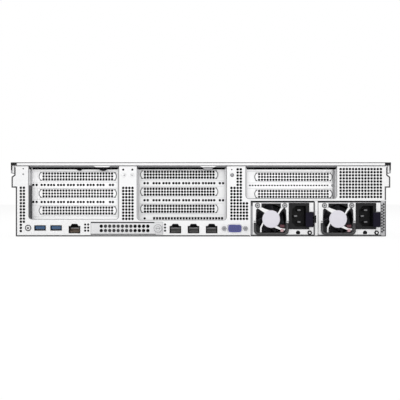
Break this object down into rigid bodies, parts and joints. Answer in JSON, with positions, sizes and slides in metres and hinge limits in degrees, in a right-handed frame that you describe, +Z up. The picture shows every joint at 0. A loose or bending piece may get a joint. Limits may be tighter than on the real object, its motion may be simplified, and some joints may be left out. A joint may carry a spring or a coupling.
{
  "type": "barebone server",
  "caption": "Two-unit rack server chassis with vented card slots, rear sockets, slide-out power supplies, a sliding top cover, fans and drive trays.",
  "frame": {"origin": "middle of the underside of the overall box", "axes": "+Z up, -Y towards the rear face with the sockets, +Y towards the drives, +X to the right when looking at the rear face"},
  "size_m": [0.4826, 0.762, 0.087],
  "materials": {
    "plated_steel": "satin, zinc plated",
    "socket_steel": "satin, tin plated",
    "blue_plastic": "semi-gloss",
    "turned_steel": "nickel plated, knurled",
    "black_plastic": "fine moulded grain",
    "fan_plastic": "smooth moulded",
    "black_steel": "black coated wire",
    "plum_plastic": "fine moulded grain",
    "circuit_board": "solder mask",
    "pale_plastic": "smooth moulded",
    "bare_aluminium": "extruded",
    "tray_plastic": "fine moulded grain",
    "lever_plastic": "fine moulded grain"
  },
  "bodies": {
    "chassis": {"chassis_pan": "plated_steel", "rear_panel": "plated_steel", "riser_cage_left": "plated_steel", "riser_cage_middle": "plated_steel", "riser_cage_right": "plated_steel", "slot_covers_left": "plated_steel", "slot_covers_middle": "plated_steel", "slot_covers_right": "plated_steel", "usb_ports": "socket_steel", "lan_ports": "socket_steel", "vga_port": "blue_plastic", "psu_cage": "plated_steel", "motherboard": "circuit_board", "memory_slots": "pale_plastic", "heat_sinks": "bare_aluminium", "air_shroud": "black_plastic", "fan_wall": "black_plastic", "drive_cage": "plated_steel", "backplane": "circuit_board", "front_cover": "plated_steel", "rack_ear_left": "plated_steel", "rack_ear_right": "plated_steel"},
    "rear_cover": {"rear_cover": "plated_steel"},
    "cover_lever": {"cover_lever": "black_plastic"},
    "mezzanine_blank": {"mezzanine_blank": "plated_steel"},
    "mezzanine_screw": {"mezzanine_screw": "turned_steel"},
    "id_button": {"id_button": "black_plastic"},
    "power_button": {"power_button": "black_plastic"},
    "fan_1": {"fan_rotor_1": "fan_plastic"},
    "fan_2": {"fan_rotor_2": "fan_plastic"},
    "fan_3": {"fan_rotor_3": "fan_plastic"},
    "fan_4": {"fan_rotor_4": "fan_plastic"},
    "psu_1": {"psu_1_case": "plated_steel", "psu_1_fan_frame": "black_plastic", "psu_1_inlet": "black_plastic"},
    "psu_1_fan": {"psu_1_fan_rotor": "fan_plastic"},
    "psu_1_handle": {"psu_1_handle": "black_steel"},
    "psu_1_latch": {"psu_1_latch": "plum_plastic"},
    "psu_2": {"psu_2_case": "plated_steel", "psu_2_fan_frame": "black_plastic", "psu_2_inlet": "black_plastic"},
    "psu_2_fan": {"psu_2_fan_rotor": "fan_plastic"},
    "psu_2_handle": {"psu_2_handle": "black_steel"},
    "psu_2_latch": {"psu_2_latch": "plum_plastic"},
    "drive_tray_1": {"drive_tray_1": "tray_plastic"},
    "tray_lever_1": {"tray_lever_1": "lever_plastic"},
    "drive_tray_2": {"drive_tray_2": "tray_plastic"},
    "tray_lever_2": {"tray_lever_2": "lever_plastic"},
    "drive_tray_3": {"drive_tray_3": "tray_plastic"},
    "tray_lever_3": {"tray_lever_3": "lever_plastic"},
    "drive_tray_4": {"drive_tray_4": "tray_plastic"},
    "tray_lever_4": {"tray_lever_4": "lever_plastic"},
    "drive_tray_5": {"drive_tray_5": "tray_plastic"},
    "tray_lever_5": {"tray_lever_5": "lever_plastic"},
    "drive_tray_6": {"drive_tray_6": "tray_plastic"},
    "tray_lever_6": {"tray_lever_6": "lever_plastic"},
    "drive_tray_7": {"drive_tray_7": "tray_plastic"},
    "tray_lever_7": {"tray_lever_7": "lever_plastic"},
    "drive_tray_8": {"drive_tray_8": "tray_plastic"},
    "tray_lever_8": {"tray_lever_8": "lever_plastic"}
  },
  "joints": [
    {"name": "cover_slide", "type": "slide", "parent": "chassis", "child": "rear_cover", "axis": [0, -1, 0], "range_m": [0, 0.014]},
    {"name": "cover_lever_turn", "type": "hinge", "parent": "rear_cover", "child": "cover_lever", "pos_m": [0, 0.024, 0.0842], "axis": [-1, 0, 0], "range_deg": [0, 60]},
    {"name": "mezzanine_slide", "type": "slide", "parent": "chassis", "child": "mezzanine_blank", "axis": [0, -1, 0], "range_m": [0, 0.025]},
    {"name": "mezzanine_screw_turn", "type": "hinge", "parent": "mezzanine_blank", "child": "mezzanine_screw", "pos_m": [-0.0502, -0.373, 0.0096], "axis": [0, 1, 0], "continuous": true},
    {"name": "id_button_press", "type": "slide", "parent": "chassis", "child": "id_button", "axis": [0, 1, 0], "range_m": [0, 0.0008], "stiffness_N_per_m": 300},
    {"name": "power_button_press", "type": "slide", "parent": "chassis", "child": "power_button", "axis": [0, -1, 0], "range_m": [0, 0.001], "stiffness_N_per_m": 300},
    {"name": "fan_1_spin", "type": "hinge", "parent": "chassis", "child": "fan_1", "pos_m": [-0.156, 0.095, 0.0424], "axis": [0, 1, 0], "continuous": true},
    {"name": "fan_2_spin", "type": "hinge", "parent": "chassis", "child": "fan_2", "pos_m": [-0.052, 0.095, 0.0424], "axis": [0, 1, 0], "continuous": true},
    {"name": "fan_3_spin", "type": "hinge", "parent": "chassis", "child": "fan_3", "pos_m": [0.052, 0.095, 0.0424], "axis": [0, 1, 0], "continuous": true},
    {"name": "fan_4_spin", "type": "hinge", "parent": "chassis", "child": "fan_4", "pos_m": [0.156, 0.095, 0.0424], "axis": [0, 1, 0], "continuous": true},
    {"name": "psu_1_slide", "type": "slide", "parent": "chassis", "child": "psu_1", "axis": [0, -1, 0], "range_m": [0, 0.18]},
    {"name": "psu_1_fan_spin", "type": "hinge", "parent": "psu_1", "child": "psu_1_fan", "pos_m": [0.0825, -0.36, 0.0204], "axis": [0, 1, 0], "continuous": true},
    {"name": "psu_1_handle_fold", "type": "hinge", "parent": "psu_1", "child": "psu_1_handle", "pos_m": [0.0825, -0.3752, 0.0156], "axis": [-1, 0, 0], "range_deg": [0, 90]},
    {"name": "psu_1_latch_press", "type": "hinge", "parent": "psu_1", "child": "psu_1_latch", "pos_m": [0.1298, -0.317, 0.0199], "axis": [0, 0, -1], "range_deg": [0, 1.8], "stiffness_Nm_per_rad": 0.5},
    {"name": "psu_2_slide", "type": "slide", "parent": "chassis", "child": "psu_2", "axis": [0, -1, 0], "range_m": [0, 0.18]},
    {"name": "psu_2_fan_spin", "type": "hinge", "parent": "psu_2", "child": "psu_2_fan", "pos_m": [0.1611, -0.36, 0.0204], "axis": [0, 1, 0], "continuous": true},
    {"name": "psu_2_handle_fold", "type": "hinge", "parent": "psu_2", "child": "psu_2_handle", "pos_m": [0.1611, -0.3752, 0.0156], "axis": [-1, 0, 0], "range_deg": [0, 90]},
    {"name": "psu_2_latch_press", "type": "hinge", "parent": "psu_2", "child": "psu_2_latch", "pos_m": [0.2084, -0.317, 0.0199], "axis": [0, 0, -1], "range_deg": [0, 1.8], "stiffness_Nm_per_rad": 0.5},
    {"name": "drive_tray_1_slide", "type": "slide", "parent": "chassis", "child": "drive_tray_1", "axis": [0, 1, 0], "range_m": [0, 0.11]},
    {"name": "tray_lever_1_open", "type": "hinge", "parent": "drive_tray_1", "child": "tray_lever_1", "pos_m": [-0.0567, 0.3583, 0.012], "axis": [-1, 0, 0], "range_deg": [0, 55]},
    {"name": "drive_tray_2_slide", "type": "slide", "parent": "chassis", "child": "drive_tray_2", "axis": [0, 1, 0], "range_m": [0, 0.11]},
    {"name": "tray_lever_2_open", "type": "hinge", "parent": "drive_tray_2", "child": "tray_lever_2", "pos_m": [-0.0405, 0.3583, 0.012], "axis": [-1, 0, 0], "range_deg": [0, 55]},
    {"name": "drive_tray_3_slide", "type": "slide", "parent": "chassis", "child": "drive_tray_3", "axis": [0, 1, 0], "range_m": [0, 0.11]},
    {"name": "tray_lever_3_open", "type": "hinge", "parent": "drive_tray_3", "child": "tray_lever_3", "pos_m": [-0.0243, 0.3583, 0.012], "axis": [-1, 0, 0], "range_deg": [0, 55]},
    {"name": "drive_tray_4_slide", "type": "slide", "parent": "chassis", "child": "drive_tray_4", "axis": [0, 1, 0], "range_m": [0, 0.11]},
    {"name": "tray_lever_4_open", "type": "hinge", "parent": "drive_tray_4", "child": "tray_lever_4", "pos_m": [-0.0081, 0.3583, 0.012], "axis": [-1, 0, 0], "range_deg": [0, 55]},
    {"name": "drive_tray_5_slide", "type": "slide", "parent": "chassis", "child": "drive_tray_5", "axis": [0, 1, 0], "range_m": [0, 0.11]},
    {"name": "tray_lever_5_open", "type": "hinge", "parent": "drive_tray_5", "child": "tray_lever_5", "pos_m": [0.0081, 0.3583, 0.012], "axis": [-1, 0, 0], "range_deg": [0, 55]},
    {"name": "drive_tray_6_slide", "type": "slide", "parent": "chassis", "child": "drive_tray_6", "axis": [0, 1, 0], "range_m": [0, 0.11]},
    {"name": "tray_lever_6_open", "type": "hinge", "parent": "drive_tray_6", "child": "tray_lever_6", "pos_m": [0.0243, 0.3583, 0.012], "axis": [-1, 0, 0], "range_deg": [0, 55]},
    {"name": "drive_tray_7_slide", "type": "slide", "parent": "chassis", "child": "drive_tray_7", "axis": [0, 1, 0], "range_m": [0, 0.11]},
    {"name": "tray_lever_7_open", "type": "hinge", "parent": "drive_tray_7", "child": "tray_lever_7", "pos_m": [0.0405, 0.3583, 0.012], "axis": [-1, 0, 0], "range_deg": [0, 55]},
    {"name": "drive_tray_8_slide", "type": "slide", "parent": "chassis", "child": "drive_tray_8", "axis": [0, 1, 0], "range_m": [0, 0.11]},
    {"name": "tray_lever_8_open", "type": "hinge", "parent": "drive_tray_8", "child": "tray_lever_8", "pos_m": [0.0567, 0.3583, 0.012], "axis": [-1, 0, 0], "range_deg": [0, 55]}
  ],
  "couplings": [
    {"joint": "cover_lever_turn", "follows": "cover_slide", "rad_per_m": 74.79}
  ]
}
